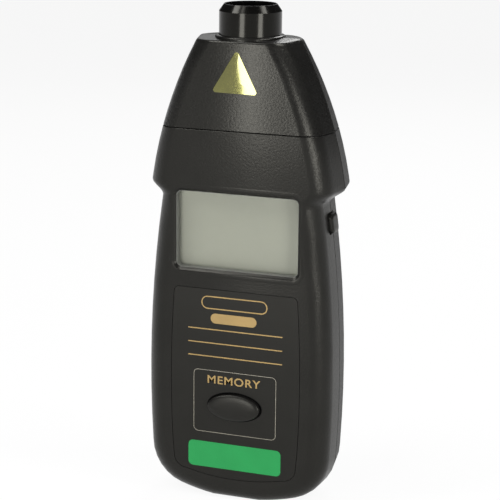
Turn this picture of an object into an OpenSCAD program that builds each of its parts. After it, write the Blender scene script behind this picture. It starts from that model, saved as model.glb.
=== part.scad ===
// Handheld laser tachometer: a moulded case in four shells, a nozzle with the optics below it,
// a display and one key on the front, a measuring button on the side and four cells in the back.
// Millimetres. +Z runs up the case, the front faces -Y, and the case splits through the nozzle axis.

/* [Case] */
// Height of the case from the base to the top of the nose
case_h = 178; // [176:0.5:184]
// Depth of the case from the front plane to the back
case_depth = 37; // [36.5:0.5:40]
// Depth of the front plane ahead of the split plane
front_depth = 14.2; // [14:0.1:15]
// Wall thickness of the shells
wall = 2.2; // [1.8:0.1:2.4]
// Width at the shoulders
shoulder_w = 75.8; // [74:0.2:80]
// Width at the belly
belly_w = 74.6; // [73:0.2:80]
// Width at the waist under the shoulders
waist_w = 64; // [63.6:0.2:67]
// Width of the nose at its top
nose_w = 39.6; // [37:0.2:44]
// Depth of the nose behind the split plane at its top
nose_rear_depth = 14; // [13:0.5:18]
// How far the nose front leans back over its height
nose_lean = 0.4; // [0:0.1:1]

/* [Case stations] */
// Height of the widest part of the belly
belly_z = 47; // [43:1:55]
// Height of the nose above the seam
nose_h = 33.7; // [31:0.1:37]
// Height of the collar from the shoulder to the seam
collar_h = 20.8; // [19:0.1:22]
// Height of the flare from the waist to the shoulder
flare_h = 5.5; // [4.5:0.5:7]

/* [Case edges] */
// Radius of the front edges of the body
body_round = 7.2; // [6.4:0.2:9]
// Radius of the front edges of the nose and shoulders
nose_round = 6; // [4:0.2:7]
// Radius of the back edges
rear_round = 11; // [9:0.2:12]
// Sideways draft of the body front, as a slope
body_draft = 0.04; // [0.02:0.01:0.08]
// Sideways draft of the nose front, as a slope
nose_draft = 0.24; // [0.2:0.01:0.28]
// Sideways draft of the back, as a slope
rear_draft = 0.17; // [0.14:0.01:0.24]
// Radius of the curved base line
base_arc_r = 84; // [76:1:120]
// Radius of the lower corners
base_corner_r = 17; // [14:0.5:18]
// Width of the flat on the base
base_flat = 20; // [18:0.5:26]
// Bevel along the split and the seam
edge = 0.25; // [0.1:0.05:0.4]

/* [Nozzle and optics] */
// Outer diameter of the nozzle
nozzle_d = 23.3; // [22.6:0.1:23.6]
// Diameter of the nozzle mouth
mouth_d = 19.1; // [18.6:0.1:19.6]
// Height of the nozzle above the case
nozzle_h = 12; // [11:0.5:15]
// Width of the flat land on the nozzle rim, inside its chamfer
rim_land = 0.3; // [0.2:0.1:0.6]
// Depth of the lens below the rim
lens_depth = 9.5; // [8.5:0.5:10]
// Diameter of the nozzle spigot inside the nose
spigot_d = 18.4; // [18:0.1:18.8]
// Diameter of the laser module
laser_d = 6.6; // [6:0.1:6.8]
// Length of the laser module
laser_l = 18; // [14:0.5:19]

/* [Display] */
// Width of the display opening
lcd_w = 48.6; // [46:0.2:49.4]
// Height of the display opening
lcd_h = 29.6; // [27:0.2:30]
// Drop from the waist to the lower edge of the display opening
lcd_drop = 26.9; // [26:0.1:28]
// Depth of the display window behind the front plane
lcd_recess = 4; // [3.2:0.1:4.2]

/* [Faceplate] */
// Gap from the display opening down to the faceplate
plate_drop = 7.5; // [7:0.1:10]
// Height of the lower edge of the faceplate at its middle
plate_bottom = 8.6; // [8:0.2:10]
// Margin from the case outline to the faceplate
plate_margin = 11.4; // [11:0.2:13]
// Thickness of the faceplate
plate_t = 0.8; // [0.5:0.1:1]

/* [Buttons] */
// Width of the memory key
key_w = 20.8; // [19:0.2:23]
// Height of the memory key
key_h = 10.2; // [9.6:0.1:12]
// Height of the memory key on the case
key_z = 38; // [36:0.5:42]
// Travel of the memory key
key_travel = 0.8; // [0.5:0.1:0.9]
// Size of the measuring button along the depth
side_w = 7.4; // [6.6:0.2:9]
// Height of the measuring button
side_h = 7.4; // [6.6:0.2:9]
// Drop from the waist to the middle of the measuring button
side_drop = 7.8; // [7.2:0.1:11]
// Travel of the measuring button
side_travel = 0.8; // [0.5:0.1:0.8]

/* [Cells and cover] */
// Length of a cell with its nub
cell_l = 50.5; // [49.5:0.1:50.5]
// Length of a seated contact spring
spring_l = 5.9; // [5:0.1:6.5]
// Thickness of the bay walls
bay_wall = 1.2; // [1:0.1:1.4]

/* [Boards] */
// Width of the main board
board_w = 53; // [50:0.5:53]
// Height of the lower edge of the main board
board_z = 24; // [22:0.5:26]
// Thickness of the main board
board_t = 1.6; // [1:0.2:1.6]

/* [Fits] */
// Gap round loose parts in their openings
slide_gap = 0.3; // [0.25:0.05:0.4]
// Gap of seated parts
seat_gap = 0.2; // [0.1:0.05:0.25]
// Radius of a case screw shank
screw_r = 1.25; // [1:0.05:1.4]

/* [Hidden] */
$fn = 64;
over = 1;
round_steps = 7;

split_y = front_depth - case_depth / 2;
rear_depth = case_depth - front_depth;
seam_z = case_h - nose_h;
shoulder_z = seam_z - collar_h;
waist_z = shoulder_z - flare_h;
lcd_z = waist_z - lcd_drop;
plate_top = lcd_z - plate_drop;
side_z = waist_z - side_drop;

// Ends of the case: radii, drafts and the height over which they fade out
base_round = 5;
rear_base_round = 7;
top_round = 0.7;
top_corner = 1.2;
top_draft = 0.04;
top_round_least = 0.5;
corner_rise = 2;
station_gap = 1;
base_zone = 25;
top_zone = 12;
nose_straight = 0.42;

// Lip of the nose inside the body
seam_gap = 0.15;
lip_gap = 0.15;
lip_t = 1.1;
lip_h = 3;

// Display stack, from the front plane inwards
window_t = 1.2;
glass_t = 2.6;
zebra_h = 2.5;
zebra_w = 2.4;
collar_t = 1.6;
glass_margin = 1;
window_corner = 1;
glass_corner = 0.6;
zebra_in = 0.3;
frame_t = 1;
window_y = lcd_recess - front_depth;
glass_y = window_y + window_t;
zebra_y = glass_y + glass_t;
board_y = zebra_y + zebra_h;
board_back = board_y + board_t;
lcd_mid = lcd_z + lcd_h / 2;
glass_w = lcd_w + 2 * glass_margin;
glass_h = lcd_h + 2 * glass_margin;
frame_in_w = glass_w + 2 * seat_gap;
frame_in_h = glass_h + 2 * seat_gap;
board_top = lcd_mid + frame_in_h / 2 + frame_t + slide_gap;

// Cells stand side by side on the bay floor, as large as the back allows, with springs at alternate ends
contact_t = 0.4;
bay_floor = 3;
bay_z = 17.2;
cover_room = 1.9;
cell_room = bay_floor + bay_wall + seat_gap;
cell_d = min(rear_depth - wall - cover_room - cell_room,
    (half_w(bay_z) - wall - bay_wall - rear_draft * rear_depth / 2) / 2);
pitch = cell_d + slide_gap;
bay_l = cell_l + spring_l + 2 * contact_t;
bay_half = 2 * pitch + seat_gap;
cell_y = cell_room + cell_d / 2;
nub_h = 1.2;
nub_r = 2.6;
cell_edge = 0.6;
cover_lap = 3;
cover_drop = 3.1;
cover_corner = 2;
cover_half = bay_half - slide_gap;
cover_z = bay_z - cover_lap;
cover_top = bay_z + bay_l + cover_lap;
ledge_y = rear_depth - wall - cover_drop;
ledge_w = 1.4;
ledge_t = 1.5;
tab_x = 9;
tab_w = 6;
tab_t = 1.6;
tab_l = 2.4;
tab_root = 2;
tab_y = rear_depth - wall - slide_gap;

// Screws and their bosses: x and z of the right-hand ones
shoulder_screw_x = 22;
shoulder_screw_rise = 5.5;
base_screw_x = 18;
base_screw_z = 7.5;
nose_screw_x = 18.5;
nose_screw_rise = 8.7;
body_screws = [[shoulder_screw_x, shoulder_z + shoulder_screw_rise], [base_screw_x, base_screw_z]];
nose_screws = [[nose_screw_x, seam_z + nose_screw_rise]];
screw_seat = 9;
screw_l = 17;
head_r = 2.7;
head_h = 2;
head_gap = 0.5;
slot_w = 0.7;
slot_half = 1.6;
boss_r = 3.4;
sink_wall = 1.4;
pilot_gap = 0.05;
post_r = 2.6;
board_screw_r = 0.9;
board_screw_l = 5;
board_head_r = 1.9;
board_head_h = 1.3;
post_in = 3;
post_rise = 4;
post_drop = 7;
board_posts = [[board_w / 2 - post_in, board_z + post_rise], [board_w / 2 - post_in, lcd_z - post_drop]];

// Nozzle and optics levels
rim_z = case_h + nozzle_h;
rim_drop = 2.6;
rim_chamfer = (nozzle_d - mouth_d) / 2 - rim_land;
nozzle_sink = 1;
nozzle_seat = case_h - nozzle_sink;
spigot_wall = 1.2;
ledge_r = spigot_d / 2 - spigot_wall;
lens_z = rim_z - lens_depth;
lens_t = 2.6;
lens_gap = 0.1;
lens_dome_r = 26;
carrier_w = 24;
carrier_d = 17;
spigot_l = 6;
plug_lap = 2;
carrier_gap = 5;
rib_drop = 6;
spigot_z = nozzle_seat - spigot_l;
plug_top = spigot_z + plug_lap;
carrier_top = spigot_z - carrier_gap;
optic_x = 4.2;
diode_r = 2.5;
diode_rim = 0.45;
diode_rim_h = 1;
diode_l = 5.5;
laser_neck = 0.5;
laser_neck_l = 2;
laser_port_r = 2;
laser_port_l = 1.2;
sensor_t = 1.4;
ribbon_w = 8;
ribbon_t = 0.3;
ribbon_lap = 8;
shelf_t = 1.2;
shelf_in = 2;
shelf_z = seam_z + lip_h + seat_gap / 2;
carrier_z = shelf_z + shelf_t + sensor_t;
bead_w = 1.4;
bead_h = 0.8;

// Key and measuring button. The profiles give height over the front, or depth below the face, and inset
key_profile = [[1.6, 0], [1.95, 0.3], [2.2, 1], [2.42, 2.2], [2.55, 4]];
key_flange = 1.2;
key_flange_t = 1.2;
key_stem_r = 1.9;
switch_h = 3.5;
switch_w = 6;
plunger_r = 1.7;
plunger_out = 1.5;
plunger_gap = 0.05;
plunger_room = 0.2;
side_proud = 1.5;
side_flange = 0.8;
side_corner = 1.6;
side_profile = [[1.2, 0], [0.5, 0.15], [0.2, 0.5], [0, 1.3]];
side_flange_t = 1;
side_plunger_r = 1.2;
side_switch_l = 4.1;
side_switch_d = 2 * abs(board_back);
key_tip_y = board_y - switch_h - plunger_out;
side_face = half_w(side_z) + side_proud;
side_flange_x = half_w(side_z + side_h / 2 + side_flange) - wall - slide_gap
    - rear_draft * (side_w / 2 + side_flange);
side_slope = (half_w(side_z + side_h / 2) - half_w(side_z - side_h / 2)) / side_h;
side_stem_l = 1.4;
side_tip_x = side_flange_x - side_flange_t - side_stem_l;

black_plastic = "#2a2a2a";

// Outline of the case, seen from the front
function mix(a, b, t) = a + (b - a) * t;
function clamp(t) = min(max(t, 0), 1);
function smooth(t) = t * t * (3 - 2 * t);
function nose_curve(s) = mix(s * s, s, nose_straight);
function head_mix(z) = smooth(clamp((z - waist_z) / (shoulder_z - waist_z)));
function nose_mix(z) = nose_curve(clamp((z - shoulder_z) / (case_h - shoulder_z)));
function belly_drop(z) = (belly_w - waist_w) / 2 * pow((z - belly_z) / (waist_z - belly_z), 2);
function half_w(z) =
    z < waist_z ? belly_w / 2 - belly_drop(z)
    : z < shoulder_z ? mix(waist_w, shoulder_w, head_mix(z)) / 2
    : mix(shoulder_w, nose_w, nose_mix(z)) / 2;

// Depth, draft and edge radius of the front or the back at a height
function lean(z) = nose_lean * clamp((z - seam_z) / (case_h - seam_z));
function depth_at(front, z) =
    front ? front_depth - lean(z) : mix(rear_depth, nose_rear_depth, nose_mix(z));
function draft_at(front, z) = front ? mix(body_draft, nose_draft, head_mix(z)) : rear_draft;
function round_at(front, z) = front ? mix(body_round, nose_round, head_mix(z)) : rear_round;
function sample_r(front) = front ? body_round : rear_round;

// How far a rounded edge of radius r has turned in at depth y, on a wall of depth d
function turned(y, d, r) = y <= d - r ? 0 : r - sqrt(max(r * r - pow(y - d + r, 2), 0));
function side_inset(front, z, t, y) =
    t + draft_at(front, z) * y + turned(y, depth_at(front, z) - t, round_at(front, z) - t);
function base_lift(front, t, y) =
    t + turned(y, depth_at(front, 0) - t, (front ? base_round : rear_base_round) - t);
function top_drop(front, t, y) =
    t + top_draft * y + turned(y, depth_at(front, case_h) - t, max(top_round - t, top_round_least));
function base_weight(z) = 1 - smooth(clamp(z / base_zone));
function top_weight(z) = smooth(clamp((z - case_h + top_zone) / top_zone));

// Steps from the split plane outwards: [is an angle, depth or angle, extra inset]
function steps(lead) = concat(
    lead == "bevel" ? [[false, 0, edge], [false, edge, 0]]
    : lead == "flush" ? [[false, 0, 0]] : [[false, -over, 0]],
    [for (k = [0 : round_steps]) [true, 90 * k / round_steps, 0]]);
function step_y(front, z, t, s) =
    s[0] ? depth_at(front, z) - t - (sample_r(front) - t) * (1 - sin(s[1])) : s[1];

// One point of a half case: station [x, z, bevel], wall offset t, step s
function case_point(front, st, t, s) =
    let (z = st[1], off = t + st[2], y = step_y(front, z, off, s))
    [st[0] * (1 - (side_inset(front, z, off, y) + s[2]) / half_w(z)),
     front ? -y : y,
     z + base_lift(front, t, y) * base_weight(z) - top_drop(front, t, y) * top_weight(z)];

// Stations along the right-hand outline
flat_a = asin(base_flat / 2 / base_arc_r);
arc_c = base_arc_r * cos(flat_a);
corner_x = half_w(base_corner_r + corner_rise) - base_corner_r;
corner_z = arc_c - sqrt(pow(base_arc_r - base_corner_r, 2) - corner_x * corner_x);
corner_a = asin(corner_x / (base_arc_r - base_corner_r));
function side_stations(z0, z1, n) = [for (k = [0 : n]) let (z = mix(z0, z1, k / n)) [half_w(z), z, 0]];
function base_stations() = concat(
    [for (k = [0 : 4]) let (a = mix(flat_a, corner_a, k / 4))
        [base_arc_r * sin(a), arc_c - base_arc_r * cos(a), 0]],
    [for (k = [1 : 5]) let (b = mix(corner_a, 90, k / 6))
        [corner_x + base_corner_r * sin(b), corner_z - base_corner_r * cos(b), 0]]);
function body_stations(top) = concat(
    base_stations(),
    side_stations(corner_z, waist_z - station_gap, 9),
    side_stations(waist_z, shoulder_z, 6),
    side_stations(shoulder_z + 2 * station_gap, top - edge, 3));
function seam_station(z) = [[half_w(z), z, edge]];
function top_stations() =
    [for (b = [18 : 18 : 90]) let (z = case_h - top_corner * (1 - sin(b)))
        [half_w(z) - top_corner * (1 - cos(b)), z, 0]];

// A closed solid from a grid of right-hand points, mirrored to the left
module half_solid(grid, front) {
    rows = len(grid);
    cols = len(grid[0]);
    points = concat(
        [for (row = grid) for (p = row) p],
        [for (row = grid) for (p = row) [-p[0], p[1], p[2]]]);
    function r(i, j) = i * cols + j;
    function l(i, j) = rows * cols + i * cols + j;
    cells = [for (i = [0 : rows - 2]) for (j = [0 : cols - 2]) [i, j]];
    last_i = rows - 1;
    last_j = cols - 1;
    faces = concat(
        [for (c = cells) [r(c[0], c[1]), r(c[0] + 1, c[1]), r(c[0] + 1, c[1] + 1)]],
        [for (c = cells) [r(c[0], c[1]), r(c[0] + 1, c[1] + 1), r(c[0], c[1] + 1)]],
        [for (c = cells) [l(c[0], c[1]), l(c[0] + 1, c[1] + 1), l(c[0] + 1, c[1])]],
        [for (c = cells) [l(c[0], c[1]), l(c[0], c[1] + 1), l(c[0] + 1, c[1] + 1)]],
        [for (i = [0 : rows - 2]) [r(i, last_j), r(i + 1, last_j), l(i + 1, last_j), l(i, last_j)]],
        [for (i = [0 : rows - 2]) [l(i, 0), l(i + 1, 0), r(i + 1, 0), r(i, 0)]],
        [for (j = [0 : cols - 2]) [l(last_i, j), l(last_i, j + 1), r(last_i, j + 1), r(last_i, j)]],
        [for (j = [0 : cols - 2]) [r(0, j), r(0, j + 1), l(0, j + 1), l(0, j)]]);
    polyhedron(points, front ? [for (f = faces) [for (k = [len(f) - 1 : -1 : 0]) f[k]]] : faces);
}

module case_solid(front, stations, t, lead) {
    half_solid([for (st = stations) [for (s = steps(lead)) case_point(front, st, t, s)]], front);
}

module body_outer(front) {
    top = seam_z - seam_gap / 2;
    case_solid(front, concat(body_stations(top), seam_station(top)), 0, "bevel");
}

module body_inner(front) {
    case_solid(front, body_stations(seam_z + over), wall, "cut");
}

module nose_outer(front) {
    low = seam_z + seam_gap / 2;
    stations = concat(seam_station(low), side_stations(low + edge, case_h - top_corner, 6), top_stations());
    case_solid(front, stations, 0, "bevel");
}

module nose_inner(front) {
    low = seam_z + lip_h;
    case_solid(front, concat(side_stations(low, case_h - top_corner, 5), top_stations()), wall, "cut");
}

// Band of the case outline between two heights, offset inwards by t
module case_band(front, t, z0, z1, lead) {
    case_solid(front, side_stations(z0, z1, 3), t, lead);
}

// Plane shapes
function ellipse(a, b) = [for (k = [0 : 7.5 : 352.5]) [a * cos(k), b * sin(k)]];
function rounded_rect(w, h, r) = [for (q = [0 : 3]) for (k = [0 : 15 : 90])
    let (sx = q == 0 || q == 3 ? 1 : -1, sy = q < 2 ? 1 : -1, a = 90 * q + k)
    [sx * (w / 2 - r) + r * cos(a), sy * (h / 2 - r) + r * sin(a)]];

// Stands a plane shape upright: plane y becomes z, and it runs from y0 to y1
module upright(y0, y1) {
    translate([0, y1, 0])
        rotate([90, 0, 0])
            linear_extrude(y1 - y0)
                children();
}

module rod_y(x, z, r, y0, y1) {
    translate([x, y1, z])
        rotate([90, 0, 0])
            cylinder(r = r, h = y1 - y0);
}

module rod_x(y, z, r, x0, x1) {
    translate([x0, y, z])
        rotate([0, 90, 0])
            cylinder(r = r, h = x1 - x0);
}

module block(x0, x1, y0, y1, z0, z1) {
    translate([x0, y0, z0])
        cube([x1 - x0, y1 - y0, z1 - z0]);
}

module both_sides(list) {
    for (p = list)
        for (s = [-1, 1])
            translate([s * p[0], 0, p[1]])
                children();
}

// Stacked rings of points, closed at both ends
module stack(rings) {
    n = len(rings[0]);
    top = len(rings) - 1;
    points = [for (ring = rings) for (p = ring) p];
    polyhedron(points, concat(
        [[for (k = [0 : n - 1]) k]],
        [for (i = [0 : top - 1]) for (k = [0 : n - 1])
            [i * n + k, (i + 1) * n + k, (i + 1) * n + (k + 1) % n]],
        [for (i = [0 : top - 1]) for (k = [0 : n - 1])
            [i * n + k, (i + 1) * n + (k + 1) % n, i * n + (k + 1) % n]],
        [[for (k = [n - 1 : -1 : 0]) top * n + k]]));
}

// Faceplate outline: the case outline drawn in by a margin, with a curved lower edge
plate_corner = 5;
plate_top_corner = 1.6;
function plate_side(z) = half_w(z) - plate_margin;
function plate_half() =
    let (low = plate_side(plate_bottom + plate_corner), floor_x = low - plate_corner,
         corner_low = plate_bottom + floor_x * floor_x / (2 * base_arc_r) + plate_corner)
    concat(
        [for (k = [0 : 4]) let (x = floor_x * k / 5) [x, plate_bottom + x * x / (2 * base_arc_r)]],
        [for (b = [0 : 15 : 90]) [floor_x + plate_corner * sin(b), corner_low - plate_corner * cos(b)]],
        [for (k = [1 : 9]) let (z = mix(corner_low, plate_top - plate_top_corner, k / 9)) [plate_side(z), z]],
        [for (b = [30 : 30 : 90])
            [plate_side(plate_top) - plate_top_corner * (1 - cos(b)),
             plate_top - plate_top_corner * (1 - sin(b))]]);

module plate_shape() {
    half = plate_half();
    polygon(concat(half, [for (k = [len(half) - 1 : -1 : 1]) [-half[k][0], half[k][1]]]));
}

module key_shape(grow) {
    translate([0, key_z])
        polygon(ellipse(key_w / 2 + grow, key_h / 2 + grow));
}

module lcd_shape(grow, corner) {
    translate([0, lcd_mid])
        polygon(rounded_rect(lcd_w + 2 * grow, lcd_h + 2 * grow, corner));
}

lcd_corner = 2.2;
lcd_bevel = 1;
bevel_from = 0.02;
bevel_to = 1.2;

// Display opening with a bevel that starts a hair outside it and runs out past the front plane
module lcd_opening() {
    upright(-front_depth - over, window_y + over)
        lcd_shape(0, lcd_corner);
    stack([for (s = [bevel_from, bevel_to]) let (out = lcd_bevel * s)
        [for (p = rounded_rect(lcd_w + 2 * out, lcd_h + 2 * out, lcd_corner + out))
            [p[0], -front_depth + lcd_bevel - out, lcd_mid + p[1]]]]);
}

// Opening for the measuring button, through both halves of the right-hand wall
module side_opening() {
    block(side_flange_x, shoulder_w, -side_w / 2 - slide_gap, side_w / 2 + slide_gap,
        side_z - side_h / 2 - slide_gap, side_z + side_h / 2 + slide_gap);
}

module sunk_screw_holes(list) {
    both_sides(list) {
        rod_y(0, 0, screw_r + head_gap, -over, screw_seat);
        rod_y(0, 0, head_r + head_gap, screw_seat, case_depth);
    }
}

module front_shell() {
    color(black_plastic)
    translate([0, split_y, 0])
    difference() {
        body_outer(true);
        difference() {
            body_inner(true);
            both_sides(body_screws)
                rod_y(0, 0, boss_r, -front_depth + wall / 2, 0);
            both_sides(board_posts)
                rod_y(0, 0, post_r, -front_depth + wall / 2, board_y);
            upright(-front_depth + wall / 2, window_y)
                lcd_shape(collar_t, lcd_corner + collar_t);
        }
        both_sides(body_screws)
            rod_y(0, 0, screw_r + pilot_gap, screw_seat - screw_l - over, over);
        both_sides(board_posts)
            rod_y(0, 0, board_screw_r + pilot_gap, board_y - board_screw_l - over, board_y + over);
        lcd_opening();
        upright(-front_depth - over, -front_depth + plate_t)
            offset(delta = seat_gap)
                plate_shape();
        upright(-front_depth - over, -front_depth + wall + over)
            key_shape(slide_gap);
        side_opening();
    }
}

module bay_walls() {
    end_z = bay_z + bay_l;
    block(-bay_half - bay_wall, bay_half + bay_wall, bay_floor, bay_floor + bay_wall,
        bay_z - bay_wall, end_z + bay_wall);
    for (s = [-1, 1]) {
        side_x = s * (bay_half + bay_wall / 2);
        block(side_x - bay_wall / 2, side_x + bay_wall / 2, bay_floor, case_depth,
            bay_z - bay_wall, end_z + bay_wall);
        ledge_x = s * (bay_half + (bay_wall - ledge_w) / 2);
        block(ledge_x - (bay_wall + ledge_w) / 2, ledge_x + (bay_wall + ledge_w) / 2,
            ledge_y - ledge_t, ledge_y, bay_z - bay_wall, end_z + bay_wall);
    }
    for (z = [bay_z - bay_wall, end_z])
        block(-bay_half - bay_wall, bay_half + bay_wall, bay_floor, ledge_y, z, z + bay_wall);
}

module cover_shape(grow) {
    translate([0, (cover_z + cover_top) / 2])
        polygon(rounded_rect(2 * (cover_half + grow), cover_top - cover_z + 2 * grow, cover_corner));
}

tail_w = 4;

module rear_shell() {
    color(black_plastic)
    translate([0, split_y, 0])
    difference() {
        body_outer(false);
        difference() {
            body_inner(false);
            both_sides(body_screws)
                rod_y(0, 0, head_r + head_gap + sink_wall, 0, case_depth);
            bay_walls();
        }
        sunk_screw_holes(body_screws);
        upright(ledge_y, case_depth)
            cover_shape(slide_gap);
        for (s = [-1, 1])
            block(s * 1.5 * pitch - tail_w / 2 - seat_gap, s * 1.5 * pitch + tail_w / 2 + seat_gap,
                bay_floor - over, bay_floor + bay_wall + over,
                bay_z + bay_l - contact_t - seat_gap, bay_z + bay_l + seat_gap);
        side_opening();
    }
}

// Shelf under the sensor board and a rib round the optics carrier, inside the nose
module nose_ribs() {
    difference() {
        block(-shoulder_w, shoulder_w, -case_depth, case_depth, shelf_z, shelf_z + shelf_t);
        block(-carrier_w / 2 + shelf_in, carrier_w / 2 - shelf_in,
            -carrier_d / 2 + shelf_in, carrier_d / 2 - shelf_in, shelf_z - over, shelf_z + shelf_t + over);
    }
    rib_z = carrier_top - rib_drop;
    difference() {
        block(-shoulder_w, shoulder_w, -case_depth, case_depth, rib_z, rib_z + shelf_t);
        block(-carrier_w / 2 - seat_gap, carrier_w / 2 + seat_gap,
            -carrier_d / 2 - seat_gap, carrier_d / 2 + seat_gap, rib_z - over, rib_z + shelf_t + over);
    }
}

// Raised bead on the nose top that the nozzle stands in
module nozzle_bead(front) {
    intersection() {
        rotate_extrude()
            polygon(concat([[spigot_d / 2, case_h - wall], [nozzle_d / 2 + bead_w, case_h - wall]],
                [for (b = [0 : 22.5 : 90])
                    [nozzle_d / 2 + bead_w * cos(b), case_h + bead_h * sin(b)]],
                [[spigot_d / 2, case_h + bead_h]]));
        block(-shoulder_w, shoulder_w, front ? -case_depth : 0, front ? 0 : case_depth,
            case_h - 2 * wall, case_h + 2 * bead_h);
    }
}

module nose_shell(front) {
    difference() {
        union() {
            nose_outer(front);
            case_band(front, wall + lip_gap, seam_z - lip_h, seam_z + lip_h, "flush");
            nozzle_bead(front);
        }
        difference() {
            nose_inner(front);
            nose_ribs();
            both_sides(nose_screws)
                rod_y(0, 0, front ? boss_r : head_r + head_gap + sink_wall,
                    front ? -front_depth + wall / 2 : 0, front ? 0 : case_depth);
        }
        case_band(front, wall + lip_gap + lip_t, seam_z - lip_h - over, seam_z + lip_h, "cut");
        translate([0, 0, nozzle_seat])
            cylinder(d = nozzle_d + 2 * seat_gap, h = nozzle_h);
        translate([0, 0, case_h - 3 * wall])
            cylinder(d = spigot_d + 2 * seat_gap, h = nozzle_h);
        if (front)
            both_sides(nose_screws)
                rod_y(0, 0, screw_r + pilot_gap, screw_seat - screw_l - over, over);
        else
            sunk_screw_holes(nose_screws);
    }
}

module nose_front_shell() {
    color(black_plastic)
    translate([0, split_y, 0])
        nose_shell(true);
}

module nose_rear_shell() {
    color(black_plastic)
    translate([0, split_y, 0])
        nose_shell(false);
}

module faceplate() {
    color("#1c1c1c")
    translate([0, split_y, 0])
    upright(-front_depth, -front_depth + plate_t)
        difference() {
            plate_shape();
            key_shape(slide_gap);
        }
}

// Back cover: a window of the back wall, with two tabs at its lower edge and ribs over the cells
grips = 5;
grip_r = 0.8;
grip_w = 20;
grip_drop = 5;
grip_pitch = 2.2;

module battery_cover() {
    cell_top = cell_y + cell_d / 2;
    color(black_plastic)
    translate([0, split_y, 0])
    difference() {
        union() {
            intersection() {
                difference() {
                    body_outer(false);
                    body_inner(false);
                }
                upright(ledge_y + slide_gap, case_depth)
                    cover_shape(0);
            }
            for (z = [bay_z + bay_l / 4, bay_z + bay_l * 3 / 4])
                block(-1.5 * pitch, 1.5 * pitch, cell_top + slide_gap, rear_depth - wall / 2,
                    z, z + bay_wall);
            for (s = [-1, 1]) {
                block(s * tab_x - tab_w / 2, s * tab_x + tab_w / 2, tab_y - tab_t, rear_depth - wall / 2,
                    cover_z, cover_z + tab_root);
                block(s * tab_x - tab_w / 2, s * tab_x + tab_w / 2, tab_y - tab_t, tab_y,
                    cover_z - tab_l, cover_z + tab_root);
            }
        }
        for (k = [0 : grips - 1])
            rod_x(rear_depth + grip_r / 3, cover_top - grip_drop - grip_pitch * k, grip_r,
                -grip_w / 2, grip_w / 2);
    }
}

module case_screw() {
    difference() {
        union() {
            rod_y(0, 0, screw_r, screw_seat - screw_l, screw_seat);
            rod_y(0, 0, head_r, screw_seat, screw_seat + head_h);
        }
        for (a = [0, 90])
            rotate([0, a, 0])
                block(-slot_half, slot_half, screw_seat + head_h / 2, screw_seat + head_h + over,
                    -slot_w / 2, slot_w / 2);
    }
}

module case_screws() {
    color("#8c8f92")
    translate([0, split_y, 0])
    both_sides(concat(body_screws, nose_screws))
        case_screw();
}

module nozzle() {
    r = nozzle_d / 2;
    m = mouth_d / 2;
    color("#181818")
    translate([0, split_y, 0])
    rotate_extrude()
        polygon([[m, rim_z], [r - rim_chamfer, rim_z], [r, rim_z - rim_drop], [r, nozzle_seat],
            [spigot_d / 2, nozzle_seat], [spigot_d / 2, spigot_z], [ledge_r, spigot_z],
            [ledge_r, lens_z], [m, lens_z]]);
}

module front_lens() {
    lens_r = mouth_d / 2 - lens_gap;
    color("#c8dce0", 0.6)
    translate([0, split_y, lens_z])
    intersection() {
        cylinder(r = lens_r, h = lens_t);
        translate([0, 0, lens_t - lens_dome_r])
            sphere(r = lens_dome_r, $fn = 128);
    }
}

module optics_carrier() {
    plug_r = ledge_r - seat_gap / 2;
    color("#202020")
    translate([0, split_y, 0])
    difference() {
        union() {
            block(-carrier_w / 2, carrier_w / 2, -carrier_d / 2, carrier_d / 2, carrier_z, carrier_top);
            translate([0, 0, carrier_top - over])
                cylinder(r = plug_r, h = plug_top - carrier_top + over);
        }
        translate([-optic_x, 0, carrier_z - over])
            cylinder(d = laser_d + seat_gap / 2, h = case_h);
        translate([optic_x, 0, carrier_z - over])
            cylinder(r = diode_r + seat_gap / 2, h = case_h);
        translate([optic_x, 0, carrier_z - over])
            cylinder(r = diode_r + diode_rim + seat_gap / 2, h = over + diode_rim_h + seat_gap);
    }
}

module laser_module() {
    color("#b48c3c")
    translate([-optic_x, split_y, carrier_z])
    difference() {
        union() {
            cylinder(d = laser_d - 2 * laser_neck, h = laser_neck_l);
            translate([0, 0, laser_neck_l])
                cylinder(d = laser_d, h = laser_l - laser_neck_l);
        }
        translate([0, 0, laser_l - laser_port_l])
            cylinder(r = laser_port_r, h = laser_port_l + over);
    }
}

module photodiode() {
    color("#303848")
    translate([optic_x, split_y, carrier_z]) {
        cylinder(r = diode_r + diode_rim, h = diode_rim_h);
        cylinder(r = diode_r, h = diode_l);
        translate([0, 0, diode_l])
            sphere(r = diode_r);
    }
}

module sensor_board() {
    color("#1f6b3a")
    translate([0, split_y, 0])
    block(-carrier_w / 2, carrier_w / 2, -carrier_d / 2, carrier_d / 2, carrier_z - sensor_t, carrier_z);
}

module sensor_ribbon() {
    color("#b9b9b4")
    translate([0, split_y, 0])
    block(-ribbon_w / 2, ribbon_w / 2, board_back, board_back + ribbon_t,
        board_top - ribbon_lap, carrier_z - sensor_t);
}

module lcd_window() {
    color("#d8e0dc", 0.4)
    translate([0, split_y, 0])
    upright(window_y, glass_y)
        translate([0, lcd_mid])
            polygon(rounded_rect(glass_w, glass_h, window_corner));
}

module lcd_glass() {
    color("#a3a894")
    translate([0, split_y, 0])
    upright(glass_y, zebra_y)
        translate([0, lcd_mid])
            polygon(rounded_rect(glass_w, glass_h, glass_corner));
}

module lcd_frame() {
    color("#2e2e2e")
    translate([0, split_y, 0])
    upright(window_y + slide_gap, board_y)
        translate([0, lcd_mid])
            difference() {
                polygon(rounded_rect(frame_in_w + 2 * frame_t, frame_in_h + 2 * frame_t,
                    glass_corner + frame_t));
                polygon(rounded_rect(frame_in_w, frame_in_h, glass_corner));
            }
}

module zebra_strips() {
    offset_z = glass_h / 2 - zebra_w / 2 - zebra_in;
    color("#d87aa0")
    translate([0, split_y, 0])
    for (s = [-1, 1])
        block(-lcd_w / 2, lcd_w / 2, zebra_y, board_y,
            lcd_mid + s * offset_z - zebra_w / 2, lcd_mid + s * offset_z + zebra_w / 2);
}

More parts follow.
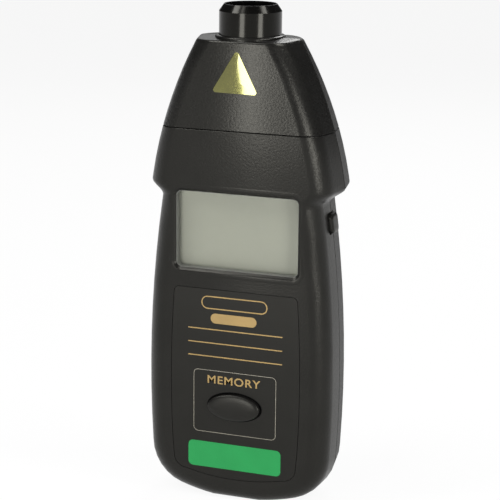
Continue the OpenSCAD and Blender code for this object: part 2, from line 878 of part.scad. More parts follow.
module main_board() {
    color("#1f6b3a")
    translate([0, split_y, 0])
    difference() {
        block(-board_w / 2, board_w / 2, board_y, board_back, board_z, board_top);
        both_sides(board_posts)
            rod_y(0, 0, board_screw_r + seat_gap, board_y - over, board_back + over);
    }
}

module board_screws() {
    color("#8c8f92")
    translate([0, split_y, 0])
    both_sides(board_posts) {
        rod_y(0, 0, board_screw_r, board_y - board_screw_l, board_back);
        rod_y(0, 0, board_head_r, board_back, board_back + board_head_h);
    }
}

chip_w = 14;
chip_t = 1.6;

module microcontroller() {
    color("#151515")
    translate([0, split_y, 0])
    block(-chip_w / 2, chip_w / 2, board_y - chip_t, board_y, lcd_mid - chip_w / 2, lcd_mid + chip_w / 2);
}

crystal_w = 11;
crystal_h = 4.4;
crystal_r = 2.1;
crystal_t = 3.4;
capacitor_r = 3.1;
capacitor_h = 6.4;
parts_x = 10;
parts_drop = 13;
parts_z = lcd_z - parts_drop;

module crystal() {
    color("#b8bcc0")
    translate([0, split_y, 0])
    upright(board_y - crystal_t, board_y)
        translate([-parts_x, parts_z])
            polygon(rounded_rect(crystal_w, crystal_h, crystal_r));
}

module filter_capacitor() {
    color("#24304a")
    translate([0, split_y, 0])
    rod_y(parts_x, parts_z, capacitor_r, board_y - capacitor_h, board_y);
}

module memory_button() {
    neck = -front_depth + wall + slide_gap;
    color("#232323")
    translate([0, split_y, 0]) {
        stack([for (s = concat([[neck, 0]], [for (k = key_profile) [-front_depth - k[0], k[1]]]))
            [for (p = ellipse(key_w / 2 - s[1], key_h / 2 - s[1])) [p[0], s[0], key_z + p[1]]]]);
        upright(neck, neck + key_flange_t)
            key_shape(key_flange);
        rod_y(0, key_z, key_stem_r, neck + key_flange_t / 2, key_tip_y);
    }
}

module tact_body(depth) {
    difference() {
        translate([-switch_w / 2, -switch_w / 2, 0])
            cube([switch_w, switch_w, switch_h]);
        translate([0, 0, switch_h - depth])
            cylinder(r = plunger_r + plunger_gap, h = depth + over);
    }
}

plunger_in = 1.6;

module memory_switch() {
    color("#3a3a3a")
    translate([0, split_y + board_y, key_z])
    rotate([90, 0, 0])
        tact_body(plunger_in + key_travel + plunger_room);
}

module memory_plunger() {
    color("#c9b48a")
    translate([0, split_y, 0])
    rod_y(0, key_z, plunger_r, key_tip_y, board_y - switch_h + plunger_in);
}

module measure_button() {
    color("#262626")
    translate([0, split_y, 0]) {
        stack(concat(
            [[for (p = rounded_rect(side_w, side_h, side_corner)) [side_flange_x, p[0], side_z + p[1]]]],
            [for (k = side_profile)
                [for (p = rounded_rect(side_w - 2 * k[1], side_h - 2 * k[1], side_corner - k[1] / 2))
                    [side_face - k[0] + side_slope * p[1], p[0], side_z + p[1]]]]));
        block(side_flange_x - side_flange_t, side_flange_x, -side_w / 2 - side_flange,
            side_w / 2 + side_flange, side_z - side_h / 2 - side_flange, side_z + side_h / 2 + side_flange);
        rod_x(0, side_z, side_plunger_r, side_tip_x, side_flange_x);
    }
}

side_plunger_out = 1.9;
side_switch_x = side_tip_x - side_plunger_out;

module measure_switch() {
    depth = plunger_in + side_travel + plunger_room;
    color("#3a3a3a")
    translate([0, split_y, 0])
    difference() {
        block(side_switch_x - side_switch_l, side_switch_x, board_back, board_back + side_switch_d,
            side_z - switch_w / 2, side_z + switch_w / 2);
        rod_x(0, side_z, side_plunger_r + plunger_gap, side_switch_x - depth, side_switch_x + over);
    }
}

module measure_plunger() {
    color("#c9b48a")
    translate([0, split_y, 0])
    rod_x(0, side_z, side_plunger_r, side_switch_x - plunger_in, side_tip_x);
}

// Cells 1 and 3 stand nub up, cells 2 and 4 nub down
function cell_x(i) = (i - 1.5) * pitch;
function nub_up(i) = i % 2 == 0;
can_z = bay_z + contact_t;

module cell(i) {
    color("#b5763a")
    translate([cell_x(i), split_y + cell_y, nub_up(i) ? can_z + spring_l : can_z + cell_l])
    rotate([nub_up(i) ? 0 : 180, 0, 0])
    rotate_extrude()
        polygon([[0, 0], [cell_d / 2 - cell_edge, 0], [cell_d / 2, cell_edge],
            [cell_d / 2, cell_l - nub_h - cell_edge], [cell_d / 2 - cell_edge, cell_l - nub_h],
            [nub_r, cell_l - nub_h], [nub_r, cell_l], [0, cell_l]]);
}

module cell_1() { cell(0); }
module cell_2() { cell(1); }
module cell_3() { cell(2); }
module cell_4() { cell(3); }

// Conical coil from the contact plate to the flat end of a cell
wire_r = 0.4;
coil_turns = 3;
coil_wide = 4.6;
coil_tip = 2.4;
coil_sides = 6;
coil_steps = 12;

function coil_ring(k, n) =
    let (f = k / n, a = 360 * coil_turns * f, r = mix(coil_wide, coil_tip, f),
         z = mix(wire_r, spring_l - wire_r, f))
    [for (q = [0 : coil_sides - 1]) let (b = 360 * q / coil_sides, o = r + wire_r * cos(b))
        [o * cos(a), o * sin(a), z + wire_r * sin(b)]];

module coil() {
    n = coil_turns * coil_steps;
    stack([for (k = [0 : n]) coil_ring(k, n)]);
}

module contact_springs() {
    color("#c8c8c4")
    for (i = [0 : 3])
        translate([cell_x(i), split_y + cell_y, nub_up(i) ? can_z : can_z + cell_l + spring_l])
            rotate([nub_up(i) ? 0 : 180, 0, 0])
                coil();
}

plate_w = 11;

module contact_plate(x0, x1, z) {
    block(x0 - plate_w / 2, x1 + plate_w / 2, bay_floor + bay_wall, ledge_y, z, z + contact_t);
}

module upper_contacts() {
    z = bay_z + bay_l - contact_t;
    color("#c8c8c4")
    translate([0, split_y, 0]) {
        contact_plate(cell_x(1), cell_x(2), z);
        for (i = [0, 3]) {
            contact_plate(cell_x(i), cell_x(i), z);
            block(cell_x(i) - tail_w / 2, cell_x(i) + tail_w / 2, board_back, bay_floor + bay_wall + over,
                z, z + contact_t);
        }
    }
}

module lower_contacts() {
    color("#c8c8c4")
    translate([0, split_y, 0]) {
        contact_plate(cell_x(0), cell_x(1), bay_z);
        contact_plate(cell_x(2), cell_x(3), bay_z);
    }
}

front_shell();
rear_shell();
nose_front_shell();
nose_rear_shell();
faceplate();
battery_cover();
case_screws();
nozzle();
front_lens();
optics_carrier();
laser_module();
photodiode();
sensor_board();
sensor_ribbon();
lcd_window();
lcd_glass();
lcd_frame();
zebra_strips();
main_board();
microcontroller();
crystal();
filter_capacitor();
board_screws();
memory_button();
memory_switch();
memory_plunger();
measure_button();
measure_switch();
measure_plunger();
cell_1();
cell_2();
cell_3();
cell_4();
contact_springs();
upper_contacts();
lower_contacts();
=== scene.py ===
import math

import bpy
from mathutils import Matrix, Vector


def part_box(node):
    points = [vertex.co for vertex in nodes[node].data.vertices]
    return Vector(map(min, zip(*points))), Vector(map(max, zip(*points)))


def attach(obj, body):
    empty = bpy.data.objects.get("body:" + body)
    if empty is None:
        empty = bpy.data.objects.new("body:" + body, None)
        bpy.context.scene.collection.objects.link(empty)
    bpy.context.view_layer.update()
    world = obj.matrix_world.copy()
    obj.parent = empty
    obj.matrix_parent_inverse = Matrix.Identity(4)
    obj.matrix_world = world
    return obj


# Looks of the laser tachometer. Metres, in the frame of the CAD model:
# +Z up the case, the display faces -Y, the measuring button is on +X.

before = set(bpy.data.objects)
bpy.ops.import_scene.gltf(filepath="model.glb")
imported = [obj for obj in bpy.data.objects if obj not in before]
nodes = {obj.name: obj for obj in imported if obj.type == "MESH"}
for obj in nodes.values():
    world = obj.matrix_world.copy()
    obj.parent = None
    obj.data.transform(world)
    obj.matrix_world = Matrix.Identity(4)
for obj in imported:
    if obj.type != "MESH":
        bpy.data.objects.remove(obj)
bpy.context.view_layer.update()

MM = 0.001
FRONT_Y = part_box("faceplate")[0].y       # front plane of the case and the faceplate
SPLIT_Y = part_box("front_shell")[1].y     # plane in which the case halves meet, through the nozzle axis
PRINT_T = 0.04 * MM                      # thickness of printed ink
FOIL_T = 0.06 * MM                       # thickness of the foil and the green film
WELD = 0.002 * MM                        # points of a mesh this close are one
SMOOTH_ANGLE = math.radians(32)          # edges that bend more stay sharp
RAY_START = 20 * MM                      # distance before the front from which its face is looked for


def mm(*lengths):
    """Lengths in metres, from millimetres."""
    return tuple(length * MM for length in lengths)


# Shading of the CAD meshes


def smooth_group(name, angle):
    """Geometry nodes that weld a mesh and leave only edges sharper than the angle as edges."""
    group = bpy.data.node_groups.new(name, "GeometryNodeTree")
    group.interface.new_socket("Geometry", in_out="INPUT", socket_type="NodeSocketGeometry")
    group.interface.new_socket("Geometry", in_out="OUTPUT", socket_type="NodeSocketGeometry")
    new = group.nodes.new
    source = new("NodeGroupInput")
    merge = new("GeometryNodeMergeByDistance")
    merge.inputs["Distance"].default_value = WELD
    bend = new("GeometryNodeInputMeshEdgeAngle")
    sharp = new("FunctionNodeCompare")
    sharp.operation = "GREATER_THAN"
    sharp.inputs[1].default_value = angle
    normals = new("GeometryNodeSetMeshNormal")
    normals.mode = "SHARPNESS"
    normals.inputs["Remove Custom"].default_value = True
    target = new("NodeGroupOutput")
    link = group.links.new
    link(source.outputs[0], merge.inputs["Geometry"])
    link(bend.outputs["Unsigned Angle"], sharp.inputs[0])
    link(merge.outputs["Geometry"], normals.inputs["Mesh"])
    link(sharp.outputs["Result"], normals.inputs["Edge Sharpness"])
    link(normals.outputs["Mesh"], target.inputs[0])
    return group


def smooth(obj, group):
    """Smooth shading over the faceted curves of a mesh, with flat faces kept flat."""
    obj.modifiers.new("smooth", "NODES").node_group = group
    weighted = obj.modifiers.new("weighted", "WEIGHTED_NORMAL")
    weighted.keep_sharp = True


smooth_edges = smooth_group("smooth_by_angle", SMOOTH_ANGLE)
for node in nodes.values():
    smooth(node, smooth_edges)

# Materials

NOISE_LOW, NOISE_HIGH = 0.3, 0.7         # the middle of a noise, over which a value goes from end to end
PATCH_SIZE = 14 * MM                     # size of the patches in which a colour varies
GLOSS_SPREAD = 0.12                      # share by which roughness varies either way
BLACK = (0.0085, 0.0083, 0.0078)
WARM_SHEEN = (1.0, 0.975, 0.87, 1.0)
CASE_GRAIN = 0.8 * MM
CASE_GRAIN_DEPTH = 0.075 * MM
CASE_GRAIN_STRENGTH = 0.8

# Bows of the moulded faces: axis, centre, radius at the centre, reach either way
NOSE_BOW = ("X", 0.0, 80.0 * MM, 36.0 * MM)
HEAD_BOWS = (("X", 2.0 * MM, 110.0 * MM, 44.0 * MM), ("Z", 150.0 * MM, 250.0 * MM, 64.0 * MM))


def new_material(name):
    """A material, its node tree and its shader."""
    material = bpy.data.materials.new(name)
    material.use_nodes = True
    return material, material.node_tree, material.node_tree.nodes["Principled BSDF"]


def set_sockets(shader, sockets):
    for name, value in sockets.items():
        shader.inputs[name].default_value = value


def noise(tree, size, detail=2.0, roughness=0.55, stretch=(1, 1, 1)):
    """Noise with features of about the given size, in the piece's own coordinates."""
    coords = tree.nodes.new("ShaderNodeTexCoord")
    mapping = tree.nodes.new("ShaderNodeMapping")
    mapping.inputs["Scale"].default_value = stretch
    texture = tree.nodes.new("ShaderNodeTexNoise")
    texture.inputs["Scale"].default_value = 1 / size
    texture.inputs["Detail"].default_value = detail
    texture.inputs["Roughness"].default_value = roughness
    tree.links.new(coords.outputs["Object"], mapping.inputs["Vector"])
    tree.links.new(mapping.outputs["Vector"], texture.inputs["Vector"])
    return texture.outputs["Fac"]


def tones(tree, factor, dark, light):
    """A ramp between two colours over the middle of a noise."""
    ramp = tree.nodes.new("ShaderNodeValToRGB")
    ramp.color_ramp.elements[0].position = NOISE_LOW
    ramp.color_ramp.elements[0].color = (*dark, 1)
    ramp.color_ramp.elements[1].position = NOISE_HIGH
    ramp.color_ramp.elements[1].color = (*light, 1)
    tree.links.new(factor, ramp.inputs["Fac"])
    return ramp.outputs["Color"]


def span(tree, factor, middle, spread):
    """A number that follows a noise, a share of its value to either side."""
    node = tree.nodes.new("ShaderNodeMapRange")
    node.inputs["From Min"].default_value = NOISE_LOW
    node.inputs["From Max"].default_value = NOISE_HIGH
    node.inputs["To Min"].default_value = middle * (1 - spread)
    node.inputs["To Max"].default_value = middle * (1 + spread)
    tree.links.new(factor, node.inputs["Value"])
    return node.outputs["Result"]


def add_bump(tree, height, depth=1.0, strength=1.0):
    """A relief, in which a height of 1 stands for the given depth."""
    bump = tree.nodes.new("ShaderNodeBump")
    bump.inputs["Strength"].default_value = strength
    bump.inputs["Distance"].default_value = depth
    tree.links.new(height, bump.inputs["Height"])
    return bump


def operate(tree, operation, first, second):
    """A calculation on two values, each a number or another node's output."""
    node = tree.nodes.new("ShaderNodeMath")
    node.operation = operation
    for socket, value in zip(node.inputs, (first, second)):
        if isinstance(value, float):
            socket.default_value = value
        else:
            tree.links.new(value, socket)
    return node.outputs[0]


def crowned(tree, axis, centre, radius, reach):
    """Height of a face that bows faintly outwards along an axis and runs out level at its reach."""
    coords = tree.nodes.new("ShaderNodeTexCoord")
    axes = tree.nodes.new("ShaderNodeSeparateXYZ")
    tree.links.new(coords.outputs["Object"], axes.inputs[0])
    place = operate(tree, "SUBTRACT", axes.outputs[axis], centre)
    offset = operate(tree, "MINIMUM", operate(tree, "MAXIMUM", place, -reach), reach)
    wave = operate(tree, "COSINE", operate(tree, "MULTIPLY", offset, math.pi / reach), 0.0)
    return operate(tree, "MULTIPLY", wave, reach ** 2 / (math.pi ** 2 * radius))


def shade(color, amount):
    return tuple(c * amount for c in color)


def surface(name, color, roughness, grain, depth, variation=0.12, strength=0.5,
            stretch=(1, 1, 1), bows=(), **sockets):
    """A surface with uneven colour and gloss and a fine relief of the given grain size."""
    material, tree, shader = new_material(name)
    fine = noise(tree, grain, stretch=stretch)
    broad = noise(tree, PATCH_SIZE, detail=3.0)
    link = tree.links.new
    link(tones(tree, broad, shade(color, 1 - variation), shade(color, 1 + variation)),
         shader.inputs["Base Color"])
    link(span(tree, fine, roughness, GLOSS_SPREAD), shader.inputs["Roughness"])
    bumps = [add_bump(tree, fine, depth, strength)]
    bumps += [add_bump(tree, crowned(tree, *bow)) for bow in bows]
    for upper, lower in zip(bumps, bumps[1:]):
        link(lower.outputs["Normal"], upper.inputs["Normal"])
    link(bumps[0].outputs["Normal"], shader.inputs["Normal"])
    set_sockets(shader, sockets)
    return material


def warm(specular):
    """Sockets of a black plastic with a faintly warm sheen."""
    return {"Specular IOR Level": specular, "Specular Tint": WARM_SHEEN}


def case_plastic(name, roughness, bows=(), specular=0.22):
    return surface(name, BLACK, roughness, CASE_GRAIN, CASE_GRAIN_DEPTH,
                   strength=CASE_GRAIN_STRENGTH, bows=bows, **warm(specular))


# Each surface gives its colour, roughness, grain size and grain depth
rear_black = case_plastic("rear_black", 0.45, specular=0.1)
head_black = case_plastic("head_black", 0.32, HEAD_BOWS)
nose_black = case_plastic("nose_black", 0.3, (NOSE_BOW,), specular=0.25)
plate_black = surface("plate_black", shade(BLACK, 0.8), 0.4, 0.3 * MM, 0.012 * MM,
                      strength=0.3, **warm(0.22))
key_black = surface("key_black", shade(BLACK, 0.9), 0.36, 0.35 * MM, 0.015 * MM,
                    strength=0.3, **warm(0.24))
nozzle_black = surface("nozzle_black", shade(BLACK, 0.4), 0.15, 0.3 * MM, 0.006 * MM,
                       strength=0.25, **warm(0.18))
inner_black = surface("inner_black", (0.02, 0.02, 0.02), 0.5, 0.4 * MM, 0.02 * MM)
chip_black = surface("chip_black", (0.022, 0.022, 0.023), 0.55, 0.2 * MM, 0.015 * MM)
switch_grey = surface("switch_grey", (0.05, 0.05, 0.052), 0.45, 0.25 * MM, 0.01 * MM)
plunger_tan = surface("plunger_tan", (0.55, 0.42, 0.22), 0.5, 0.3 * MM, 0.01 * MM)
elastomer_pink = surface("elastomer_pink", (0.62, 0.3, 0.38), 0.6, 0.12 * MM, 0.02 * MM,
                         stretch=(6, 1, 1))
ribbon_grey = surface("ribbon_grey", (0.5, 0.5, 0.46), 0.5, 0.5 * MM, 0.05 * MM,
                      stretch=(2, 1, 0.02))
sleeve_blue = surface("sleeve_blue", (0.02, 0.035, 0.12), 0.3, 0.6 * MM, 0.01 * MM)
board_green = surface("board_green", (0.012, 0.12, 0.045), 0.32, 0.8 * MM, 0.02 * MM, variation=0.25)
cell_orange = surface("cell_orange", (0.42, 0.17, 0.04), 0.3, 0.5 * MM, 0.006 * MM, Metallic=0.4)
gold_ink = surface("gold_ink", (0.315, 0.205, 0.062), 0.42, 0.12 * MM, 0.006 * MM, variation=0.1)
line_ink = surface("line_ink", (0.29, 0.27, 0.215), 0.42, 0.12 * MM, 0.006 * MM, variation=0.1)
# Matte near-black for painted shade: the ring round the key's hole darkens the plate where shade falls in
# the gap.
painted_shade_black = surface("painted_shade_black", (0.001, 0.001, 0.001), 0.8, 0.2 * MM, 0.01 * MM,
                    **{"Specular IOR Level": 0.05})
green_label = surface("green_label", (0.0125, 0.252, 0.062), 0.42, 0.3 * MM, 0.006 * MM,
                      variation=0.05, **{"Specular IOR Level": 0.25})
liner_grey = surface("liner_grey", (0.13, 0.132, 0.12), 0.35, 0.3 * MM, 0.006 * MM)
lcd_grey = surface("lcd_grey", (0.252, 0.259, 0.194), 0.5, 0.25 * MM, 0.004 * MM, variation=0.03)
foil_gold = surface("foil_gold", (0.15, 0.145, 0.03), 0.06, 0.6 * MM, 0.004 * MM, variation=0.15,
                    strength=0.2, Metallic=0.8, **{"Coat Weight": 1.0, "Coat Roughness": 0.04})
tin = surface("tin", (0.62, 0.61, 0.58), 0.28, 0.4 * MM, 0.01 * MM, Metallic=1.0)
zinc = surface("zinc", (0.5, 0.5, 0.52), 0.32, 0.3 * MM, 0.012 * MM, Metallic=1.0)
brass = surface("brass", (0.72, 0.5, 0.19), 0.26, 0.25 * MM, 0.01 * MM, stretch=(1, 1, 8), Metallic=1.0)
diode_tint = surface("diode_tint", (0.02, 0.022, 0.045), 0.12, 1.5 * MM, 0.004 * MM)
lens_clear = surface("lens_clear", (0.012, 0.013, 0.016), 0.07, 2 * MM, 0.002 * MM,
                     **{"Coat Weight": 0.6, "Coat Roughness": 0.03})


def clear_material(name, color, roughness, alpha, patch=3 * MM, darker=0.96, spread=0.2):
    """Clear moulding: a polished skin over what lies behind it."""
    material, tree, shader = new_material(name)
    faint = noise(tree, patch)
    tree.links.new(tones(tree, faint, shade(color, darker), color), shader.inputs["Base Color"])
    tree.links.new(span(tree, faint, roughness, spread), shader.inputs["Roughness"])
    set_sockets(shader, {"Alpha": alpha, "Specular IOR Level": 0.5})
    return material


window_clear = clear_material("window_clear", (0.6, 0.62, 0.58), roughness=0.06, alpha=0.12)

NODE_MATERIALS = {
    rear_black: ["rear_shell", "nose_rear_shell", "battery_cover"],
    head_black: ["front_shell"],
    nose_black: ["nose_front_shell"],
    plate_black: ["faceplate"],
    key_black: ["memory_button", "measure_button"],
    nozzle_black: ["nozzle"],
    inner_black: ["optics_carrier", "lcd_frame"],
    lens_clear: ["front_lens"],
    brass: ["laser_module"],
    diode_tint: ["photodiode"],
    board_green: ["main_board", "sensor_board"],
    ribbon_grey: ["sensor_ribbon"],
    window_clear: ["lcd_window"],
    lcd_grey: ["lcd_glass"],
    elastomer_pink: ["zebra_strips"],
    chip_black: ["microcontroller"],
    switch_grey: ["memory_switch", "measure_switch"],
    plunger_tan: ["memory_plunger", "measure_plunger"],
    sleeve_blue: ["filter_capacitor"],
    tin: ["crystal", "contact_springs", "upper_contacts", "lower_contacts"],
    zinc: ["case_screws", "board_screws"],
    cell_orange: ["cell_1", "cell_2", "cell_3", "cell_4"],
}
for material, names in NODE_MATERIALS.items():
    for name in names:
        mesh = nodes[name].data
        mesh.materials.clear()
        mesh.materials.append(material)

# Print on the faceplate, and painted shade round the key's hole

# Boxes are left, right, bottom and top
CAPSULE_LINE = mm(-13.6, 12.9, 75.9, 81.0)
CAPSULE_LINE_R = 2.5 * MM
CAPSULE = mm(-9.8, 8.6, 70.4, 74.3)
CAPSULE_R = 1.9 * MM
RULE_HEIGHTS = mm(67.9, 62.5, 57.2)
RULE_HALF = 19 * MM                      # half of a rule's length
RULE_W = 0.42 * MM                       # width of the rules and the capsule line
RULE_END_R = RULE_W * 0.45
KEY_FRAME = mm(-16.7, 16.7, 26.7, 51.7)
KEY_FRAME_R = 1.8 * MM
KEY_FRAME_W = 0.16 * MM
WORD_LEFT, WORD_RIGHT, WORD_BASE, WORD_HEIGHT = mm(-11.0, 10.4, 46.5, 3.2)
WORD_WEIGHT = 0.014                      # thickening of the letters, as a share of their size
WORD_SPACING = 1.12
# Half sizes of the key's hole, height of the key, and the width of the ring of painted shade round the hole
KEY_GAP_HALF_X, KEY_GAP_HALF_Z, KEY_Z, KEY_SHADE_W = mm(10.72, 5.42, 38, 0.38)
GREEN_PANEL = mm(-18.85, 18.85, 12.4, 22.7)
GREEN_PANEL_R = 1.9 * MM


def arc(cx, cz, r, start, end, steps):
    return [(cx + r * math.cos(a), cz + r * math.sin(a))
            for a in (math.radians(start + (end - start) * k / steps) for k in range(steps + 1))]


def rounded_box(box, r, steps=8):
    """Outline of a rounded rectangle, counter-clockwise."""
    x0, x1, z0, z1 = box
    return (arc(x1 - r, z1 - r, r, 0, 90, steps) + arc(x0 + r, z1 - r, r, 90, 180, steps)
            + arc(x0 + r, z0 + r, r, 180, 270, steps) + arc(x1 - r, z0 + r, r, 270, 360, steps))


def grown(box, by):
    """A box with each side moved outwards."""
    x0, x1, z0, z1 = box
    return (x0 - by, x1 + by, z0 - by, z1 + by)


def new_piece(name, vertices, faces, material):
    """A mesh piece that rides on the case."""
    mesh = bpy.data.meshes.new(name)
    mesh.from_pydata(vertices, [], faces)
    mesh.materials.append(material)
    mesh.update()
    piece = bpy.data.objects.new(name, mesh)
    bpy.context.scene.collection.objects.link(piece)
    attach(piece, "case")
    return piece


def printed_area(name, outline, material, thickness=PRINT_T):
    """A filled outline of ink or film on the front plane."""
    n = len(outline)
    back = [(x, FRONT_Y, z) for x, z in outline]
    face = [(x, FRONT_Y - thickness, z) for x, z in outline]
    sides = [(k, (k + 1) % n, n + (k + 1) % n, n + k) for k in range(n)]
    ends = [tuple(range(n))[::-1], tuple(range(n, 2 * n))]
    new_piece(name, back + face, ends + sides, material)


def printed_line(name, outer, inner, material):
    """A closed line of print between two outlines of equal point count; the line round the key's hole is
    painted shade.
    """
    n = len(outer)
    rings = [[(x, y, z) for x, z in loop]
             for y in (FRONT_Y, FRONT_Y - PRINT_T) for loop in (outer, inner)]
    face, outer_wall, inner_wall, back = (2, 3), (0, 2), (3, 1), (1, 0)
    faces = []
    for k in range(n):
        m = (k + 1) % n
        for a, b in (face, outer_wall, inner_wall, back):
            faces.append((a * n + k, a * n + m, b * n + m, b * n + k))
    new_piece(name, [p for ring in rings for p in ring], faces, material)


def outline_ring(name, box, r, width, material):
    """A line of ink along the inside of a rounded rectangle."""
    printed_line(name, rounded_box(box, r), rounded_box(grown(box, -width), r - width), material)


def outline_oval(name, half_x, half_z, middle, width, material, steps=96):
    """A dark line along the outside of an oval: the painted shade round the key's hole."""
    turns = [2 * math.pi * k / steps for k in range(steps)]
    outer, inner = ([((half_x + w) * math.cos(t), middle + (half_z + w) * math.sin(t)) for t in turns]
                    for w in (width, 0))
    printed_line(name, outer, inner, material)


def printed_word(name, text, x0, x1, z0, height, material):
    """A word in plain capitals, fitted between two x and set on a line."""
    curve = bpy.data.curves.new(name, "FONT")
    curve.body = text
    curve.size = 1.0
    curve.offset = WORD_WEIGHT
    curve.space_character = WORD_SPACING
    source = bpy.data.objects.new(name, curve)
    bpy.context.scene.collection.objects.link(source)
    bpy.context.view_layer.update()
    evaluated = source.evaluated_get(bpy.context.evaluated_depsgraph_get())
    flat = bpy.data.meshes.new_from_object(evaluated)
    bpy.data.objects.remove(source)
    points = [v.co.copy() for v in flat.vertices]
    lo = Vector((min(p.x for p in points), min(p.y for p in points)))
    hi = Vector((max(p.x for p in points), max(p.y for p in points)))
    scale = Vector(((x1 - x0) / (hi.x - lo.x), height / (hi.y - lo.y)))
    y = FRONT_Y - PRINT_T
    vertices = [(x0 + (p.x - lo.x) * scale.x, y, z0 + (p.y - lo.y) * scale.y) for p in points]
    faces = [tuple(f.vertices) for f in flat.polygons]
    new_piece(name, vertices, faces, material)


for index, middle in enumerate(RULE_HEIGHTS):
    rule = (-RULE_HALF, RULE_HALF, middle - RULE_W / 2, middle + RULE_W / 2)
    printed_area(f"gold_rule_{index + 1}", rounded_box(rule, RULE_END_R, steps=3), gold_ink)

outline_ring("gold_capsule_line", CAPSULE_LINE, CAPSULE_LINE_R, RULE_W, gold_ink)
printed_area("gold_capsule", rounded_box(CAPSULE, CAPSULE_R), gold_ink)
outline_ring("key_frame_line", KEY_FRAME, KEY_FRAME_R, KEY_FRAME_W, line_ink)
printed_word("key_word", "MEMORY", WORD_LEFT, WORD_RIGHT, WORD_BASE, WORD_HEIGHT, gold_ink)
# Painted shade: a near-black ring on the plate round the key's hole, standing in for the shade in the gap
# round the key.
outline_oval("key_gap_painted_shade", KEY_GAP_HALF_X, KEY_GAP_HALF_Z, KEY_Z, KEY_SHADE_W, painted_shade_black)
printed_area("green_panel", rounded_box(GREEN_PANEL, GREEN_PANEL_R), green_label, thickness=FOIL_T)

# Foil on the nose

FOIL_CORNERS = ((-0.15, 174.6), (-10.0, 158.6), (8.3, 158.2))    # x and z in mm
FOIL_CORNER_R = 0.95 * MM
FOIL_RIM_SHARE = 0.985                   # share of the foil inside its narrow rim
FOIL_CROWN_X = -1.0 * MM                 # where its dome is highest
FOIL_DOME_R = 0.45                       # radius of its dome


def foil_corner(before, corner, after, r, steps=6):
    """Points round one corner of a polygon, rounded with radius r."""
    back, ahead = (before - corner).normalized(), (after - corner).normalized()
    half = back.angle(ahead) / 2
    middle = corner + (back + ahead).normalized() * (r / math.sin(half))
    start = corner + back * (r / math.tan(half)) - middle
    end = corner + ahead * (r / math.tan(half)) - middle
    return [middle + (start.lerp(end, k / steps)).normalized() * r for k in range(steps + 1)]


def foil_triangle(name, corners, r, rings=8):
    """A triangle of domed foil with rounded corners, laid on the front of the nose."""
    shell = nodes["nose_front_shell"]
    points = [Vector(c) * MM for c in corners]
    outline = [p for k in range(3) for p in foil_corner(points[k - 1], points[k], points[(k + 1) % 3], r)]
    reach = max(abs(p.x - FOIL_CROWN_X) for p in outline)

    def place(p, rise):
        seat = shell.ray_cast(Vector((0, FRONT_Y - RAY_START, p.y)), Vector((0, 1, 0)))[1]
        return (p.x, seat.y - rise, p.y)

    def dome(p):
        return FOIL_T + (reach ** 2 - (p.x - FOIL_CROWN_X) ** 2) / (2 * FOIL_DOME_R)

    n = len(outline)
    centre = sum(points, Vector((0, 0))) / 3
    shares = [1.0] + [FOIL_RIM_SHARE * k / rings for k in range(rings, 0, -1)]
    loops = [[centre.lerp(p, share) for p in outline] for share in shares]
    vertices = [place(p, 0) for p in outline]
    vertices += [place(p, dome(p)) for loop in loops for p in loop] + [place(centre, dome(centre))]
    faces = [tuple(range(n))[::-1]]
    for ring in range(len(loops)):
        for k in range(n):
            m = (k + 1) % n
            faces.append((ring * n + k, ring * n + m, (ring + 1) * n + m, (ring + 1) * n + k))
    inner = len(loops) * n
    faces += [(inner + k, inner + (k + 1) % n, inner + n) for k in range(n)]
    foil = new_piece(name, vertices, faces, foil_gold)
    for polygon in foil.data.polygons:
        polygon.use_smooth = polygon.index > n


foil_triangle("foil_triangle", FOIL_CORNERS, FOIL_CORNER_R)

# Trim of the display opening

OPENING = mm(-24.3, 24.3, 91.1, 120.7)
OPENING_R = 2.2 * MM
OPENING_BEVEL = 1.05                     # width of the shell's bevel round it, in mm

# Sections of the trim: distance out from the edge of the opening and depth, in mm
LIP_SECTION = ((2.9, 0.03), (2.6, -0.02), (2.2, -0.045), (1.8, -0.05), (1.4, -0.035), (1.1, -0.01),
               (0.8, 0.14), (0.45, 0.49), (-0.04, 1.0), (0.5, 0.9))
LINER_SECTION = ((-0.02, 1.1), (-0.17, 1.1), (-0.17, 3.95), (-0.02, 3.95))


def opening_ring(name, section, material, steps=12):
    """Trim round the display opening, through the points of a section.

    Outside the bevel of the opening the depth counts from the face of the shell.
    """
    shell = nodes["front_shell"]

    def place(x, z, out, depth):
        face = FRONT_Y
        if out > OPENING_BEVEL:
            face = shell.ray_cast(Vector((x, FRONT_Y - RAY_START, z)), Vector((0, 1, 0)))[1].y
        return (x, face + depth * MM, z)

    loops = []
    for out, depth in section:
        grow = out * MM
        outline = rounded_box(grown(OPENING, grow), OPENING_R + grow, steps)
        loops.append([place(x, z, out, depth) for x, z in outline])
    n, count = len(loops[0]), len(section)
    faces = [(a * n + k, a * n + (k + 1) % n, (a + 1) % count * n + (k + 1) % n, (a + 1) % count * n + k)
             for a in range(count) for k in range(n)]
    piece = new_piece(name, [p for loop in loops for p in loop], faces, material)
    smooth(piece, smooth_edges)


opening_ring("display_lip", LIP_SECTION, head_black)
opening_ring("display_liner", LINER_SECTION, liner_grey)

# Stage, light and camera

CAMERA_AZIMUTH = math.radians(20)
CAMERA_ELEVATION = math.radians(14.02)
CAMERA_ROLL = math.radians(0.52)
CAMERA_DISTANCE = 0.66
CAMERA_CLIP_START = 0.01
TARGET = Vector((0, SPLIT_Y, 96.54 * MM))
TARGET_SHIFT = 0.55 * MM                 # how far to its right the camera looks past the target
FOCAL_PX = 1734.0
IMAGE_PX = 500.0
SENSOR_WIDTH = 36.0                      # in mm, as Blender counts it
FLOOR_HALF = 8.0
FLOOR_COLOR = (0.82, 0.82, 0.82, 1)
FLOOR_GLOW = 0.92                        # share of white in the floor where it is seen or mirrored
WORLD_LEVEL = 0.04

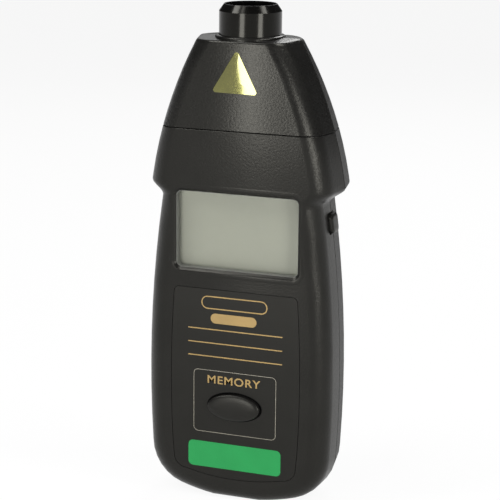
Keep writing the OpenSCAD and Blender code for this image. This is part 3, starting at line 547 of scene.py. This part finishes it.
# Name, azimuth and elevation in degrees, distance, height of the point that it faces,
# width, height and radiance
SOFTBOXES = (
    ("panel_left", -10.8, 0, 0.46, 0.13, 0.132, 0.2, 12),
    ("panel_right", 56, 0, 0.46, 0.13, 0.13, 0.2, 12),
    ("softbox_left", -54, 46, 0.8, 0.14, 0.3, 0.3, 12),
    ("softbox_right", 86, 46, 0.8, 0.14, 0.3, 0.3, 12),
    ("softbox_back", -160, 17, 1.0, 0.18, 0.7, 0.36, 1.0),
    ("softbox_rear", 180, 40, 0.9, 0.12, 0.4, 0.4, 8),
    ("softbox_top", -50, 70, 0.8, 0.12, 0.4, 0.24, 6),
)


def direction(azimuth, elevation):
    """Unit vector from the object towards a place seen at these angles."""
    return Vector((math.sin(azimuth) * math.cos(elevation), -math.cos(azimuth) * math.cos(elevation),
                   math.sin(elevation)))


def add_camera():
    data = bpy.data.cameras.new("camera")
    data.sensor_width = SENSOR_WIDTH
    data.lens = FOCAL_PX / IMAGE_PX * data.sensor_width
    data.clip_start = CAMERA_CLIP_START
    camera = bpy.data.objects.new("camera", data)
    bpy.context.scene.collection.objects.link(camera)
    back = direction(CAMERA_AZIMUTH, CAMERA_ELEVATION)
    right = Vector((math.cos(CAMERA_AZIMUTH), math.sin(CAMERA_AZIMUTH), 0))
    up = back.cross(right)
    rolled_right = math.cos(CAMERA_ROLL) * right + math.sin(CAMERA_ROLL) * up
    rolled_up = back.cross(rolled_right)
    place = TARGET + TARGET_SHIFT * right + CAMERA_DISTANCE * back
    turn = Matrix((rolled_right, rolled_up, back)).transposed()
    camera.matrix_world = Matrix.Translation(place) @ turn.to_4x4()
    bpy.context.scene.camera = camera


def add_floor():
    """A plain white floor that glows where it is seen or mirrored, with the object's shadow on it."""
    half = FLOOR_HALF
    corners = [(-half, -half, 0), (half, -half, 0), (half, half, 0), (-half, half, 0)]
    mesh = bpy.data.meshes.new("floor")
    mesh.from_pydata(corners, [], [(0, 1, 2, 3)])
    floor = bpy.data.objects.new("floor", mesh)
    bpy.context.scene.collection.objects.link(floor)
    material, tree, shader = new_material("floor_white")
    set_sockets(shader, {"Base Color": FLOOR_COLOR, "Roughness": 0.9, "Specular IOR Level": 0.1})
    paths = tree.nodes.new("ShaderNodeLightPath")
    seen = operate(tree, "MAXIMUM", paths.outputs["Is Camera Ray"], paths.outputs["Is Glossy Ray"])
    clear = operate(tree, "MAXIMUM", seen, paths.outputs["Is Transmission Ray"])
    glow = tree.nodes.new("ShaderNodeEmission")
    mix = tree.nodes.new("ShaderNodeMixShader")
    link = tree.links.new
    link(operate(tree, "MULTIPLY", clear, FLOOR_GLOW), mix.inputs["Fac"])
    link(shader.outputs["BSDF"], mix.inputs[1])
    link(glow.outputs["Emission"], mix.inputs[2])
    link(mix.outputs["Shader"], tree.nodes["Material Output"].inputs["Surface"])
    mesh.materials.append(material)


def add_world(level):
    """An even white light of low level from all round."""
    world = bpy.data.worlds.new("studio")
    world.use_nodes = True
    background = world.node_tree.nodes["Background"]
    background.inputs["Color"].default_value = (1, 1, 1, 1)
    background.inputs["Strength"].default_value = level
    bpy.context.scene.world = world


def add_softbox(name, azimuth, elevation, distance, aim_z, width, height, radiance):
    """A softbox seen at these angles from a point on the case axis, with an even radiance over its face."""
    data = bpy.data.lights.new(name, "AREA")
    data.shape = "RECTANGLE"
    data.size = width
    data.size_y = height
    data.energy = radiance * math.pi * width * height
    light = bpy.data.objects.new(name, data)
    bpy.context.scene.collection.objects.link(light)
    away = direction(math.radians(azimuth), math.radians(elevation))
    light.matrix_world = (Matrix.Translation(Vector((0, SPLIT_Y, aim_z)) + distance * away)
                          @ away.to_track_quat("Z", "Y").to_matrix().to_4x4())
    light.visible_camera = False


add_camera()
add_floor()
add_world(WORLD_LEVEL)
for softbox in SOFTBOXES:
    add_softbox(*softbox)

bpy.context.scene.view_settings.view_transform = "Standard"
